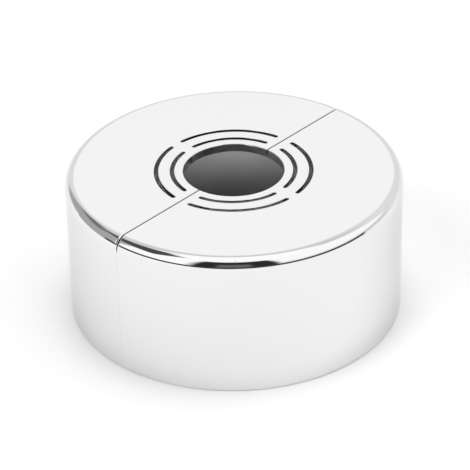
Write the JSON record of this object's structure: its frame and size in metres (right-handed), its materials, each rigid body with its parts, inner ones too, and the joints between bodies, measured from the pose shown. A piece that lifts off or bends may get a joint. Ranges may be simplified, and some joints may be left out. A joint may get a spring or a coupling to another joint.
{
  "type": "radiator pipe collar",
  "caption": "Split chrome pipe collar: a deep round cap with a flat face, central pipe hole and concentric break-out slits, whose halves push together round a heating pipe.",
  "frame": {"origin": "centre of the open end, on the pipe axis, in the plane that meets the wall or floor", "axes": "+Z along the pipe, from the open end to the face; the seam between the halves lies in the XZ plane; the front half is at -Y"},
  "size_m": [0.072, 0.072, 0.032],
  "materials": {
    "chrome_plate": "mirror bright chrome plating on moulded ABS"
  },
  "bodies": {
    "rear_half": {"rear_half_shell": "chrome_plate"},
    "front_half": {"front_half_shell": "chrome_plate"}
  },
  "joints": [
    {"name": "halves_pull_apart", "type": "slide", "parent": "rear_half", "child": "front_half", "axis": [0, -1, 0], "range_m": [0, 0.04]}
  ]
}
